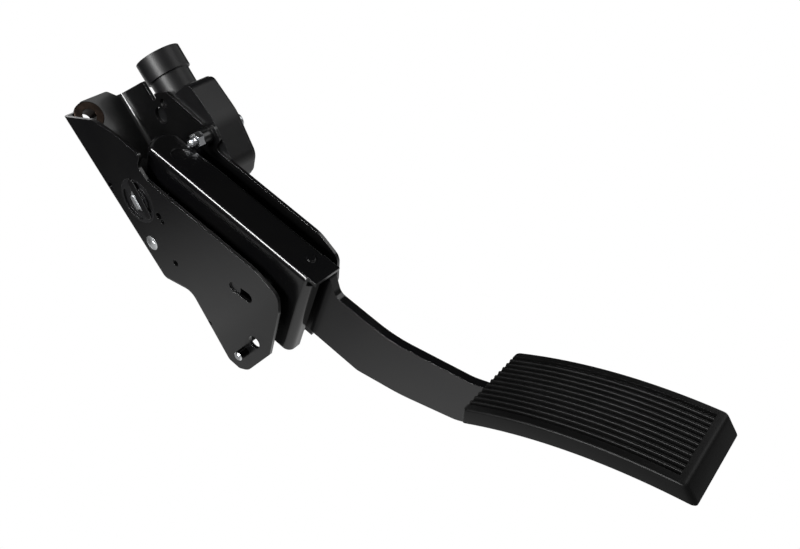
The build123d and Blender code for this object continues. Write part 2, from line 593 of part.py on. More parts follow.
def pad_plate():
    length = pad_arc()[4]
    plate = pad_band(PLATE_DEPTH, PLATE_DEPTH + PLATE_THICK, PLATE_ENDS, length - PLATE_ENDS,
                     PAD_NEAR_X + PLATE_MARGIN, PAD_NEAR_X + PAD_WIDTH - PLATE_MARGIN)
    corners = plate.edges().filter_by(GeomType.LINE).filter_by(lambda e: abs(e.tangent_at(0).X) < 0.5)
    return fillet(corners, PAD_CORNER_R - 1)


def arm_outline():
    """Side outline of the arm, in U and W: down its front edge, round its foot and up its rear edge."""
    front_w = WEB_W + WEB_BEND_R + 0.3
    foot_u = (PAD_TOP[0] + PAD_LOW[0]) / 2
    points = [(ARM_TOP_U, front_w), (CHANNEL_END_U + 1.5, front_w), (ARM_STEP_U, ARM_FRONT_W + 0.2),
              (163, ARM_FRONT_W - 0.4), (PAD_TOP[0] - 7.5, PAD_TOP[1] + 8.6), (foot_u, PAD_TOP[1] - 20),
              (foot_u - 16, PAD_TOP[1] + 9), (PAD_TOP[0] - 2.3, PAD_TOP[1] + 37.6),
              (ARM_KINK_U + 28, ARM_BACK_W - 8.3), (ARM_KINK_U, ARM_BACK_W + 0.2), (ARM_TOP_U, ARM_BACK_W)]
    return rounded(points, [6, 4, 6, 80, 30, 3, 14, 26, 110, 12, 6])


def pedal_arm():
    arm = extrude(lever_plane(ARM_X) * arm_outline(), ARM_THICK)
    length = pad_arc()[4]
    seat = PLATE_DEPTH + PLATE_THICK
    x0, x1 = ARM_X - 1, ARM_X + ARM_THICK + 1
    arm -= pad_band(-20, seat, PLATE_ENDS - 0.4, length + 10, x0, x1)
    rubber = pad_band(-20, PLATE_DEPTH + 0.2, -12, PLATE_ENDS, x0, x1) & pad_ends(x0, x1 - x0, 0.4)
    return arm - rubber


# Position sensor
def sensor_outline(inset):
    """Side outline of the sensor in Y and Z."""
    face = outline(SENSOR_SIDE, PIVOT_Y, PIVOT_Z)
    return offset(face, -inset) if inset else face


def screw_holes(x, length):
    tools = Part()
    for place in (SCREW_FRONT, SCREW_REAR):
        tools += rod(x, length, SCREW_DIA + 2 * SCREW_GAP, place)
    return tools


def neck_axis():
    return FAR_X + NECK_OUT, PIVOT_Y + NECK_BACK


def terminal_places():
    x, y = neck_axis()
    places = []
    for i in (-1, 0, 1):
        for j in (-0.5, 0.5):
            places.append((x + i * TERMINAL_PITCH, y + j * TERMINAL_PITCH))
    return places


def upright(x, y, z0, z1, dia):
    return extrude(Plane(origin=(x, y, z0)) * Circle(dia / 2), z1 - z0)


def sensor_housing():
    """Housing and connector shell, moulded in one."""
    x, y = neck_axis()
    depth = SENSOR_DEPTH - COVER_THICK
    body = extrude(yz_plane(FAR_X) * sensor_outline(0), depth)
    for px, pz in (SCREW_FRONT, SCREW_REAR):
        body += rod(FAR_X, depth, SCREW_HEAD_DIA + 3, (px, pz)) & extrude(
            yz_plane(FAR_X) * Pos(PIVOT_Y - 14, PIVOT_Z) * Rectangle(70, 90), depth)
    top = PIVOT_Z + SENSOR_TOP
    root = upright(x, y, top - 6, top + 0.2, NECK_DIA)
    body += root & Pos(FAR_X + depth / 2, y, top) * Box(depth, 60, 60)
    body += upright(x, y, top + 0.2, COLLAR_LOW_Z + 2, NECK_DIA)
    collar = upright(x, y, COLLAR_LOW_Z, COLLAR_TOP_Z, COLLAR_DIA)
    collar = chamfer(collar.edges().group_by(Axis.Z)[0], 0.3)
    collar = fillet(collar.edges().group_by(Axis.Z)[-1], 0.5)
    body += collar
    body -= upright(x, y, SOCKET_FLOOR_Z, COLLAR_TOP_Z + 1, SOCKET_DIA)
    for tx, ty in terminal_places():
        wide = TERMINAL_SIZE + 2 * TERMINAL_GAP
        body -= Pos(tx, ty, SOCKET_FLOOR_Z) * Box(wide, wide, 2 * TERMINAL_ROOT)
    body -= rod(ROTOR_X - 0.5, SENSOR_DEPTH, ROTOR_DIA + 1, PIVOT)
    body -= rod(FAR_X - 1, ROTOR_OFFSET + 2, SHAFT_DIA + 1, PIVOT)
    body -= rod(FAR_X - 1, SEAL_THICK + 1, SEAL_DIA + 0.1, PIVOT)
    return body - screw_holes(FAR_X - 1, SENSOR_DEPTH)


def sensor_cover():
    """Outer cover with a low round boss over the rotor."""
    x = SENSOR_OUT - COVER_THICK
    cover = extrude(yz_plane(x) * sensor_outline(COVER_INSET), COVER_THICK - 1)
    cover = fillet(cover.edges().group_by(Axis.X)[-1], 0.8)
    boss = rod(x, COVER_THICK, ROTOR_DIA - 2, PIVOT)
    cover += fillet(boss.edges().group_by(Axis.X)[-1], 0.8)
    return cover - screw_holes(x - 1, COVER_THICK + 2)


def sensor_rotor():
    rotor = rod(ROTOR_X, ROTOR_THICK, ROTOR_DIA, PIVOT)
    drive = extrude(yz_plane(ROTOR_X - 1) * Pos(*PIVOT) * Rectangle(8.1, 5.1), ROTOR_THICK)
    return rotor - drive


def sensor_seal():
    ring = rod(FAR_X + 0.05, SEAL_THICK - 0.1, SEAL_DIA, PIVOT)
    return ring - rod(FAR_X - 1, SEAL_THICK + 2, SHAFT_DIA + 1, PIVOT)


def terminals():
    body = []
    for x, y in terminal_places():
        low = SOCKET_FLOOR_Z - TERMINAL_ROOT + 0.1
        pin = Pos(x, y, (low + TERMINAL_TOP_Z) / 2) * Box(TERMINAL_SIZE, TERMINAL_SIZE, TERMINAL_TOP_Z - low)
        body.append(chamfer(pin.edges().group_by(Axis.Z)[-1], 0.3))
    return Compound(children=body)


def sensor_screw(place, nut_x):
    """Pan-head screw through cover, housing and flank, and past the nut on the plane X."""
    head_x = SENSOR_OUT - 1
    head = rod(head_x, SCREW_HEAD, SCREW_HEAD_DIA, place)
    head = fillet(head.edges().group_by(Axis.X)[-1], 1.0)
    drive = extrude(yz_plane(head_x + SCREW_HEAD - 1.4) * Pos(*place) * RegularPolygon(2.2, 6), 2)
    start = nut_x - NUT_THICK - SCREW_PAST_NUT
    shank = rod(start, head_x - start, SCREW_DIA, place)
    shank = chamfer(shank.edges().group_by(Axis.X)[0], 0.6)
    return head + shank - drive


def sensor_nut(place, nut_x):
    hexagon = RegularPolygon(NUT_ACROSS / 2, 6, major_radius=False)
    nut = extrude(yz_plane(nut_x - NUT_THICK) * Pos(*place) * hexagon, NUT_THICK)
    return nut - rod(nut_x - NUT_THICK - 1, NUT_THICK + 2, SCREW_DIA + 2 * SEAT_GAP, place)


def build():
    os.makedirs("parts", exist_ok=True)
    parts = {
        "bracket": bracket(),
        "mount_bush_upper": mount_bush(1),
        "mount_bush_lower": mount_bush(-1),
        "pivot_bush_near": near_bush(),
        "pivot_bush_far": far_bush(),
        "shaft_clip": shaft_clip(),
        "spring_anchor_near": near_anchor(),
        "spring_anchor_far": far_anchor(),
        "locating_stud": locating_stud(),
        "idle_stop": idle_stop(),
        "full_travel_stop": full_travel_stop(),
        "return_spring_near": near_spring(),
        "return_spring_far": far_spring(),
        "sensor_housing": sensor_housing(),
        "sensor_cover": sensor_cover(),
        "sensor_seal": sensor_seal(),
        "sensor_terminals": terminals(),
        "sensor_screw_front": sensor_screw(SCREW_FRONT, FRONT_NUT_X),
        "sensor_screw_rear": sensor_screw(SCREW_REAR, FAR_IN),
        "sensor_nut_front": sensor_nut(SCREW_FRONT, FRONT_NUT_X),
        "sensor_nut_rear": sensor_nut(SCREW_REAR, FAR_IN),
        "sensor_rotor": sensor_rotor(),
        "lever_channel": lever_channel(),
        "pivot_shaft": pivot_shaft(),
        "pedal_arm": pedal_arm(),
        "pad_plate": pad_plate(),
        "pedal_pad": pedal_pad(),
    }
    for name, part in parts.items():
        export_step(part, f"parts/{name}.step")


build()
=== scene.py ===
# %% [markdown]
# An accelerator pedal hangs from the bulkhead of a car: a folded steel bracket, a pressed lever on a
# cross shaft, a curved arm with a ribbed rubber pad, and a moulded position sensor.
# The construction comes in as a fixed frame of solids at their real places. This lesson gives each
# surface its finish, and replaces the solids whose real form is softer or finer than a solid shows.

# %% Load the frame
import json
import math

import bmesh
import bpy
from mathutils import Matrix, Vector


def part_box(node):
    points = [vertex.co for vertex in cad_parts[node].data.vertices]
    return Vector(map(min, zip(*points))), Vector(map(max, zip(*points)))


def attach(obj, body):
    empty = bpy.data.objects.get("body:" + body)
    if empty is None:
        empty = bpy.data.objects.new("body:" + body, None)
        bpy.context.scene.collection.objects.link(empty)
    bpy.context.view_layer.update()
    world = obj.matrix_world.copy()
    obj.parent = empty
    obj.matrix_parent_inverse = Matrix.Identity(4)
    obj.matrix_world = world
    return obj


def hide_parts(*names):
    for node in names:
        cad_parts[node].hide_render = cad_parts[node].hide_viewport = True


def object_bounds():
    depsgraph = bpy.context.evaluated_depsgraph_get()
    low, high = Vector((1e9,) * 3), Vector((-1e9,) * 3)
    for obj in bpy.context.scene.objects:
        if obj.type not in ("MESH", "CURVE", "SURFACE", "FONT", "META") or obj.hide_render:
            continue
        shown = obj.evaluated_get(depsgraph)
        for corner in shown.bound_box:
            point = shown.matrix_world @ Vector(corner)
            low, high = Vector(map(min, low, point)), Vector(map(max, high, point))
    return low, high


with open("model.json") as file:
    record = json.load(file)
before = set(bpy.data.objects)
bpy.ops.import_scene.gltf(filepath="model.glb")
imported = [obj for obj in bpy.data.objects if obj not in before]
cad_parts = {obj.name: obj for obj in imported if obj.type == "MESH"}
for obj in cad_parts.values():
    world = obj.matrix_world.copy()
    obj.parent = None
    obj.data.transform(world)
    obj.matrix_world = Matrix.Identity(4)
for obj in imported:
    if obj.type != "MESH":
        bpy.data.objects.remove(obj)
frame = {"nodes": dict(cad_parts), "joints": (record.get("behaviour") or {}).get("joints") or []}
cad_low, cad_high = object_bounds()
MM = 0.001
pivot = Vector(frame["joints"][0]["pos_m"])
print("nodes", len(frame["nodes"]), "size in mm", [round((b - a) / MM, 1) for a, b in zip(cad_low, cad_high)])

# %% [markdown]
# The photograph was taken from the front left, a little below the pivot, with the camera rolled, so
# the pedal lies across the picture. A camera is a place, a direction and an up vector. Its right vector
# is their cross product, and the three become the columns of its matrix.

# %% Camera
CAMERA_PLACE = Vector((-0.257, -0.458, -0.043))
LOOK = Vector((0.65536, 0.73819, -0.15992)).normalized()
UP = Vector((0.46484, -0.2273, 0.85572))
LENS_MM, SENSOR_MM = 38.25, 36.0

right = LOOK.cross(UP).normalized()
up = right.cross(LOOK)
camera_data = bpy.data.cameras.new("camera")
camera_data.lens, camera_data.sensor_width = LENS_MM, SENSOR_MM
camera_data.clip_start, camera_data.clip_end = 0.01, 50.0
camera = bpy.data.objects.new("camera", camera_data)
axes = Matrix((right, up, -LOOK)).transposed().to_4x4()
camera.matrix_world = Matrix.Translation(CAMERA_PLACE) @ axes
bpy.context.scene.collection.objects.link(camera)
bpy.context.scene.camera = camera
bpy.context.scene.view_settings.view_transform = "Standard"
print("camera stands", round((CAMERA_PLACE - pivot).length, 3), "m from the pivot")

# %% [markdown]
# Colours are written as the hex values a painter's chart or a web page gives. Those are sRGB, and
# shaders want linear light, so one function converts them. Another small function adds a shader node
# and sets or links its inputs by name, so that each material below reads as a list of its layers.

# %% Colour and node helpers
BEVEL_SAMPLES = 6


def linear(hex_colour):
    """Linear RGBA of an sRGB hex colour."""
    parts = [int(hex_colour[i:i + 2], 16) / 255 for i in (1, 3, 5)]
    return [c / 12.92 if c <= 0.04045 else ((c + 0.055) / 1.055) ** 2.4 for c in parts] + [1.0]


def add_node(tree, kind, inputs=None, **settings):
    """A node with its settings, whose inputs are given values or linked to sockets."""
    node = tree.nodes.new(kind)
    for name, value in settings.items():
        setattr(node, name, value)
    for name, value in (inputs or {}).items():
        if isinstance(value, bpy.types.NodeSocket):
            tree.links.new(value, node.inputs[name])
        else:
            node.inputs[name].default_value = value
    return node


def new_material(name):
    """An empty node material, its tree, its Principled shader and its Object coordinates."""
    material = bpy.data.materials.new(name)
    material.use_nodes = True
    tree = material.node_tree
    tree.nodes.clear()
    shader = add_node(tree, "ShaderNodeBsdfPrincipled")
    add_node(tree, "ShaderNodeOutputMaterial", {"Surface": shader.outputs[0]})
    place = add_node(tree, "ShaderNodeTexCoord").outputs["Object"]
    return material, tree, shader, place


def noise(tree, place, feature_mm, detail=2.0):
    """Noise whose blobs are about as wide as a real size in millimetres."""
    settings = {"Vector": place, "Scale": 1 / (feature_mm * MM), "Detail": detail}
    return add_node(tree, "ShaderNodeTexNoise", settings).outputs[0]


def spread(tree, value, low, high, start=0.3, stop=0.7):
    """A noise value stretched from one figure to another."""
    settings = {"Value": value, "From Min": start, "From Max": stop, "To Min": low, "To Max": high}
    return add_node(tree, "ShaderNodeMapRange", settings).outputs[0]


def mix_colours(tree, amount, first, second):
    """A colour between two others, which the Mix node takes in its sockets 6 and 7."""
    return add_node(tree, "ShaderNodeMix", {0: amount, 6: first, 7: second}, data_type="RGBA").outputs[2]


def relief(tree, height, depth_mm, strength, edge_mm):
    """Bump from a height, over edges that are rounded by a radius."""
    edge = add_node(tree, "ShaderNodeBevel", {"Radius": edge_mm * MM}, samples=BEVEL_SAMPLES).outputs[0]
    inputs = {"Height": height, "Distance": depth_mm * MM, "Strength": strength, "Normal": edge}
    return add_node(tree, "ShaderNodeBump", inputs).outputs[0]


def link_layers(tree, shader, colour, roughness, normal):
    """Link the three things that vary over a surface to its shader."""
    for name, layer in (("Base Color", colour), ("Roughness", roughness), ("Normal", normal)):
        tree.links.new(layer, shader.inputs[name])


print("black paint as linear light", [round(c, 4) for c in linear("#080808")])

# %% [markdown]
# The bracket, lever and arm are deep-drawn and folded mild steel, dipped in black electrophoretic
# paint. The eye sees a near-black body under a thin even gloss: soft reflections and a bright line on
# each fold that faces a lamp. A Principled shader with a dark base and paint's IOR of 1.5 gives that.
# The lever and arm are the glossier ones. The bracket is satin, with a faint sharper shine over the
# soft one, which is a higher roughness under a weak coat. The roughness drifts a little over
# centimetres, and a Bevel node rounds the cut edges, which on real sheet are broken by tumbling.

# %% Dipped black steel
def make_dipped_steel(name, smooth, rough, coat):
    """Black dipped paint, with its range of roughness and the weight of its coat."""
    cloud_mm, drift_mm, peel_mm = 30.0, 25.0, 2.5
    peel_depth_mm, peel_strength, edge_mm = 0.01, 0.02, 0.4
    material, tree, shader, place = new_material(name)
    cloudy = spread(tree, noise(tree, place, cloud_mm), 0.0, 1.0)
    drift = spread(tree, noise(tree, place, drift_mm), smooth, rough)
    peel = noise(tree, place, peel_mm, 1.0)
    link_layers(tree, shader, mix_colours(tree, cloudy, linear("#050506"), linear("#080808")), drift,
                relief(tree, peel, peel_depth_mm, peel_strength, edge_mm))
    shader.inputs["IOR"].default_value = 1.5
    shader.inputs["Coat Weight"].default_value = coat
    shader.inputs["Coat Roughness"].default_value = 0.13
    return material


satin_steel = make_dipped_steel("satin_dipped_steel", 0.29, 0.33, 0.35)
gloss_steel = make_dipped_steel("gloss_dipped_steel", 0.17, 0.20, 0.0)
print("finishes of dipped steel:", satin_steel.name, "and", gloss_steel.name)

# %% [markdown]
# The sensor and its connector are glass-filled nylon, moulded in a spark-eroded tool. That leaves a
# fine even grain of a few tenths of a millimetre, so highlights spread into a soft grey sheen. The
# Specular IOR Level is no measured value: it was lowered to bring the housing nearer to the
# brightness in the photograph. The pivot's bushes are acetal, which is smoother.

# %% Moulded black plastic
def make_moulding(name, dark, light, smooth, rough, grain_mm):
    """Black moulded plastic in two near shades, with an even grain."""
    shade_mm, drift_mm = 20.0, 15.0
    grain_depth_mm, grain_strength, edge_mm = 0.01, 0.15, 0.4
    material, tree, shader, place = new_material(name)
    shade = spread(tree, noise(tree, place, shade_mm), 0.0, 1.0)
    drift = spread(tree, noise(tree, place, drift_mm), smooth, rough)
    link_layers(tree, shader, mix_colours(tree, shade, linear(dark), linear(light)), drift,
                relief(tree, noise(tree, place, grain_mm), grain_depth_mm, grain_strength, edge_mm))
    shader.inputs["IOR"].default_value = 1.53
    shader.inputs["Specular IOR Level"].default_value = 0.33
    return material


nylon = make_moulding("grained_black_nylon", "#0a0a0b", "#0e0e0f", 0.38, 0.43, 0.35)
bearing_plastic = make_moulding("black_bearing_acetal", "#101011", "#161617", 0.30, 0.36, 0.8)
print("moulded finishes:", nylon.name, "and", bearing_plastic.name)

# %% [markdown]
# The pad is moulded synthetic rubber, blacker and duller than the paint, with a very fine grain and
# a faint grey bloom. Its Specular IOR Level is no measured value either: it was lowered in steps to
# bring the pad's top nearer to the brightness in the photograph.

# %% Pad rubber
def make_rubber(name):
    """Black rubber with a bloom in patches and a fine grain."""
    bloom_mm, drift_mm, grain_mm = 20.0, 8.0, 0.4
    grain_depth_mm, grain_strength, edge_mm = 0.01, 0.05, 0.2
    material, tree, shader, place = new_material(name)
    bloom = spread(tree, noise(tree, place, bloom_mm, 3.0), 0.0, 1.0, 0.45, 0.75)
    drift = spread(tree, noise(tree, place, drift_mm), 0.40, 0.44)
    link_layers(tree, shader, mix_colours(tree, bloom, linear("#060606"), linear("#0b0b0b")), drift,
                relief(tree, noise(tree, place, grain_mm), grain_depth_mm, grain_strength, edge_mm))
    shader.inputs["IOR"].default_value = 1.52
    shader.inputs["Specular IOR Level"].default_value = 0.17
    return material


rubber = make_rubber("moulded_black_rubber")
print("finish of the pad:", rubber.name)

# %% [markdown]
# The fasteners and studs are zinc-plated steel. Zinc is a bright blue-white metal with a fine satin
# from the plating bath. The bolt eyes carry a brownish passivated film, the springs are dark oiled
# wire, and the terminals are tinned. All are metals, so only colour, roughness and grain differ.
# The locating stud is coloured bright at its end and near black along its barrel: there the colour changes
# with the Object X coordinate.

# %% Plated metals
def make_metal(name, colour, tint, smooth, rough, grain_mm, dark_from_x_mm=None):
    """Metal in two near shades, which may turn black past a place on X."""
    patch_grains, drift_grains, change_mm = 12, 6, 0.3
    grain_depth_mm, grain_strength, edge_mm = 0.01, 0.04, 0.25
    material, tree, shader, place = new_material(name)
    patches = spread(tree, noise(tree, place, grain_mm * patch_grains), 0.0, 1.0)
    drift = spread(tree, noise(tree, place, grain_mm * drift_grains), smooth, rough)
    surface = mix_colours(tree, patches, linear(colour), linear(tint))
    if dark_from_x_mm is not None:
        x = add_node(tree, "ShaderNodeSeparateXYZ", {"Vector": place}).outputs["X"]
        dark = spread(tree, x, 0.0, 1.0, dark_from_x_mm * MM, (dark_from_x_mm + change_mm) * MM)
        surface = mix_colours(tree, dark, surface, linear("#161617"))
    link_layers(tree, shader, surface, drift,
                relief(tree, noise(tree, place, grain_mm), grain_depth_mm, grain_strength, edge_mm))
    shader.inputs["Metallic"].default_value = 1.0
    return material


BRIGHT_END = 0.7
stud_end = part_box("locating_stud")[0].x / MM
fastener_zinc = make_metal("dull_zinc_plate", "#bfc1c4", "#adafb1", 0.20, 0.26, 0.8)
zinc = make_metal("zinc_plated_steel", "#e2e4e6", "#d6d8d9", 0.36, 0.42, 0.8)
passivated = make_metal("brown_passivated_steel", "#2b231e", "#211c19", 0.34, 0.45, 0.5)
spring_wire = make_metal("oiled_spring_wire", "#3c3d40", "#2b2b2d", 0.25, 0.36, 0.4)
tinned = make_metal("tinned_brass", "#d8d2c0", "#c5bda6", 0.22, 0.32, 0.2)
stud_steel = make_metal("stud_with_bright_end", "#d6d8db", "#c2c4c3", 0.22, 0.34, 0.4, stud_end + BRIGHT_END)
print("the locating stud is bright up to X", round(stud_end + BRIGHT_END, 1), "mm")

# %% [markdown]
# Each solid takes the finish of the stuff it is made of.

# %% Finish of each solid
FINISH = {
    "bracket": satin_steel, "lever_channel": gloss_steel, "pedal_arm": gloss_steel,
    "pad_plate": gloss_steel, "sensor_housing": nylon, "sensor_cover": nylon,
    "pivot_bush_near": bearing_plastic, "pivot_bush_far": bearing_plastic,
    "sensor_rotor": bearing_plastic, "idle_stop": rubber, "full_travel_stop": rubber,
    "sensor_seal": rubber, "pedal_pad": rubber, "mount_bush_upper": passivated,
    "mount_bush_lower": passivated, "shaft_clip": satin_steel, "return_spring_near": spring_wire,
    "return_spring_far": spring_wire, "pivot_shaft": zinc, "spring_anchor_near": zinc,
    "spring_anchor_far": zinc, "locating_stud": stud_steel, "sensor_screw_front": fastener_zinc,
    "sensor_screw_rear": fastener_zinc, "sensor_nut_front": fastener_zinc,
    "sensor_nut_rear": fastener_zinc, "sensor_terminals": tinned,
}
for name, solid in frame["nodes"].items():
    solid.data.materials.clear()
    solid.data.materials.append(FINISH[name])
print("solids with a finish", len(FINISH), "of", len(frame["nodes"]))

# %% [markdown]
# The softer forms are meshes made here. A skin runs through a row of rings that all have the same
# number of points, and ends flat. Most things of a pedal are such a row: a bar, a round stud, a rib.
# Smooth shading breaks where faces meet at a sharper angle than the one named here.

# %% Mesh helpers
SHARP_DEGREES = 35.0


def new_piece(name, mesh, material, body, replaces=()):
    """Make a finished mesh an object that rides on a body and may stand for solids."""
    mesh.shade_smooth()
    mesh.set_sharp_from_angle(angle=math.radians(SHARP_DEGREES))
    mesh.materials.clear()
    mesh.materials.append(material)
    piece = bpy.data.objects.new(name, mesh)
    bpy.context.scene.collection.objects.link(piece)
    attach(piece, body)
    if replaces:
        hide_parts(*replaces)
    print(name, "has", len(mesh.polygons), "faces")


def skin(name, rings):
    """Closed mesh through rings of points, with flat ends."""
    points = [point for ring in rings for point in ring]
    n, last = len(rings[0]), (len(rings) - 1) * len(rings[0])
    faces = [(i * n + j, i * n + (j + 1) % n, (i + 1) * n + (j + 1) % n, (i + 1) * n + j)
             for i in range(len(rings) - 1) for j in range(n)]
    faces += [tuple(range(n)), tuple(range(last, last + n))]
    mesh = bpy.data.meshes.new(name)
    mesh.from_pydata(points, [], faces)
    form = bmesh.new()
    form.from_mesh(mesh)
    bmesh.ops.recalc_face_normals(form, faces=form.faces)
    form.to_mesh(mesh)
    form.free()
    return mesh


def turned(name, profile, place, sides=48):
    """Skin of a round thing along X, from pairs of X and radius in millimetres, around a place."""
    angles = [2 * math.pi * i / sides for i in range(sides)]
    rings = []
    for x, radius in profile:
        spots = [(x, place[0] + radius * math.cos(a), place[1] + radius * math.sin(a)) for a in angles]
        rings.append([Vector(spot) * MM for spot in spots])
    return skin(name, rings)


def quarter_turn(steps):
    """Angles that divide a right angle in equal steps."""
    return [math.pi / 2 * k / steps for k in range(steps + 1)]


def baked(thing):
    """Mesh of an object with its modifiers applied."""
    graph = bpy.context.evaluated_depsgraph_get()
    mesh = bpy.data.meshes.new_from_object(thing.evaluated_get(graph), depsgraph=graph)
    mesh.name = thing.name
    return mesh


def carved(mesh, cutters):
    """A mesh with other meshes cut out of it."""
    thing = bpy.data.objects.new(mesh.name, mesh)
    tools = [bpy.data.objects.new("cutter", cutter) for cutter in cutters]
    for item in [thing] + tools:
        bpy.context.scene.collection.objects.link(item)
    for tool in tools:
        cut = thing.modifiers.new("cut", "BOOLEAN")
        cut.operation, cut.object, cut.solver = "DIFFERENCE", tool, "EXACT"
    result = baked(thing)
    for item in [thing] + tools:
        bpy.data.objects.remove(item)
    return result


def node_group(name, inputs):
    """An empty Geometry Nodes group with named inputs, and its input and output nodes."""
    group = bpy.data.node_groups.new(name, "GeometryNodeTree")
    group.interface.new_socket("Geometry", in_out="INPUT", socket_type="NodeSocketGeometry")
    for label, kind in inputs.items():
        group.interface.new_socket(label, in_out="INPUT", socket_type="NodeSocket" + kind)
    group.interface.new_socket("Geometry", in_out="OUTPUT", socket_type="NodeSocketGeometry")
    return group, group.nodes.new("NodeGroupInput"), group.nodes.new("NodeGroupOutput")


def painted_end(group, start, end, geometry):
    """Close a group: its copies are made real and take its finish."""
    real = add_node(group, "GeometryNodeRealizeInstances", {"Geometry": geometry.outputs[0]})
    painted = add_node(group, "GeometryNodeSetMaterial", {
        "Geometry": real.outputs[0], "Material": start.outputs["Finish"]})
    group.links.new(painted.outputs[0], end.inputs[0])
    return group


def grown(mesh, group, values):
    """A mesh after a Geometry Nodes group. The modifier takes its inputs by identifier."""
    thing = bpy.data.objects.new(mesh.name, mesh)
    bpy.context.scene.collection.objects.link(thing)
    modifier = thing.modifiers.new("nodes", "NODES")
    modifier.node_group = group
    sockets = {item.name: item.identifier for item in group.interface.items_tree if item.in_out == "INPUT"}
    for name, value in values.items():
        modifier[sockets[name]] = value
    result = baked(thing)
    bpy.data.objects.remove(thing)
    return result


print("faces meet sharply over", SHARP_DEGREES, "degrees")

# %% [markdown]
# The pad and the arm lie in the plane of the lever. Its own coordinates are U, down the web from the
# pivot, and W, backwards. The face of the pad is an arc over the chord between its two ends, so a
# point of the rubber is given by its arc length, its depth under the face and its place across.

# %% Coordinates of the lever and the pad
WEB_SLOPE = math.radians(58.0)
FACE_TOP, FACE_LOW = Vector((216.9, -43.7)), Vector((306.9, -96.2))
FACE_BULGE = 5.0
CUT_TOP, CUT_LOW = Vector((0.27, 0.96)), Vector((0.84, 0.55))

chord = FACE_LOW - FACE_TOP
along = chord.normalized()
outward = Vector((along.y, -along.x))
face_radius = (chord.length ** 2 / 4 + FACE_BULGE ** 2) / (2 * FACE_BULGE)
face_length = 2 * face_radius * math.asin(chord.length / 2 / face_radius)
face_centre = (FACE_TOP + FACE_LOW) / 2 - outward * (face_radius - FACE_BULGE)


def lever_point(x, u, w):
    """Point in metres at X, U and W in millimetres."""
    y = pivot.y / MM - math.cos(WEB_SLOPE) * u + math.sin(WEB_SLOPE) * w
    z = pivot.z / MM - math.sin(WEB_SLOPE) * u - math.cos(WEB_SLOPE) * w
    return Vector((x, y, z)) * MM


def face_axes(s):
    """Outward and downward directions of the face at an arc length."""
    a = (s - face_length / 2) / face_radius
    return (math.cos(a) * outward + math.sin(a) * along, math.cos(a) * along - math.sin(a) * outward)


def pad_point(x, s, depth):
    """Point in metres at a place across, an arc length and a depth under the face."""
    spot = face_centre + (face_radius - depth) * face_axes(s)[0]
    return lever_point(x, spot.x, spot.y)


def end_slant(cut, s):
    """How far an end face runs along the arc for each millimetre of depth."""
    normal, tangent = face_axes(s)
    return -cut.dot(tangent) / cut.dot(normal)


slant_top, slant_low = end_slant(CUT_TOP, 0), end_slant(CUT_LOW, face_length)
print("face of the pad is", round(face_length, 1), "mm long")
print("its ends slant by", round(slant_top, 2), "and", round(slant_low, 2))

# %% [markdown]
# The pad's body is a skin of rounded rectangles along the arc. Near each end the rectangles shrink by
# a quarter circle, which rounds the corners as the mould does, and shift with depth by the slant of
# the end face. Rings stand close together there, and evenly between.

# %% Body of the pad
PAD_X = (-13.0, 37.0)
PAD_THICK = 8.6
CORNER, RIM_ROUND, HEEL_ROUND = 2.5, 1.1, 0.7
RIM_STEPS, HEEL_STEPS, MIDDLE_STEPS = 6, 4, 24
NEAR_END = [0.0, 0.08, 0.2, 0.4, 0.7, 1.1, 1.5, 2.0, 3.0, 5.0, 8.0]
BLEND = 25.0


def quarter(radius, distance):
    """How far a quarter circle has come in at a distance from the end."""
    short = max(radius - distance, 0)
    return radius - math.sqrt(radius ** 2 - short ** 2)


def slanted(s, depth):
    """Arc length moved by the slant of the end that is near."""
    share_top, share_low = max(1 - s / BLEND, 0), max(1 - (face_length - s) / BLEND, 0)
    return s + depth * (slant_top * share_top + slant_low * share_low)


def pad_ring(s):
    """Rounded rectangle across the pad at an arc length."""
    end = min(s, face_length - s)
    middle, half = sum(PAD_X) / 2, (PAD_X[1] - PAD_X[0]) / 2 - quarter(CORNER, end)
    lift, heel = quarter(RIM_ROUND, end), PAD_THICK - quarter(HEEL_ROUND, end)
    outline = []
    for sign, turn in ((-1, 1), (1, -1)):
        for a in quarter_turn(RIM_STEPS)[::turn]:
            x = half - RIM_ROUND + RIM_ROUND * math.cos(a)
            outline.append((sign * x, lift + RIM_ROUND - RIM_ROUND * math.sin(a)))
    for sign, turn in ((1, 1), (-1, -1)):
        for a in quarter_turn(HEEL_STEPS)[::turn]:
            x = half - HEEL_ROUND + HEEL_ROUND * math.cos(a)
            outline.append((sign * x, heel - HEEL_ROUND + HEEL_ROUND * math.sin(a)))
    return [pad_point(middle + x, slanted(s, depth), depth) for x, depth in outline]


stretch = face_length - 2 * NEAR_END[-1]
stations = NEAR_END + [NEAR_END[-1] + stretch * i / MIDDLE_STEPS for i in range(1, MIDDLE_STEPS)]
stations += [face_length - distance for distance in NEAR_END[::-1]]
plain_pad = skin("pad_rubber", [pad_ring(s) for s in stations])
print("the plain pad has", len(stations), "rings of", len(pad_ring(0)), "points")

# %% [markdown]
# The mould leaves four hollows: the sunk field between the rims, the pocket that grips the steel
# plate, the opening underneath through which the plate was pushed, and the notch for the arm. Each is
# a curved block, cut out by a Boolean modifier. The outermost ribs are part of the rims.

# %% Hollows of the pad
RIBS, RIB_PITCH, RIB_WIDTH, RIB_HEIGHT, PLAIN_END = 13, 3.62, 1.6, 1.6, 4.0
PLATE_DEPTH, PLATE_THICK, PLATE_RIM, PLATE_END = 4.6, 2.0, 2.4, 3.0
OPENING_RIM, OPENING_END, OPENING_LAP = 6.4, 7.0, 0.4
POCKET_GAP, ARM_GAP, NOTCH_START, NOTCH_END = 0.15, 0.3, -15.0, 6.0
PAST, BLOCK_STEPS = 6.0, 28


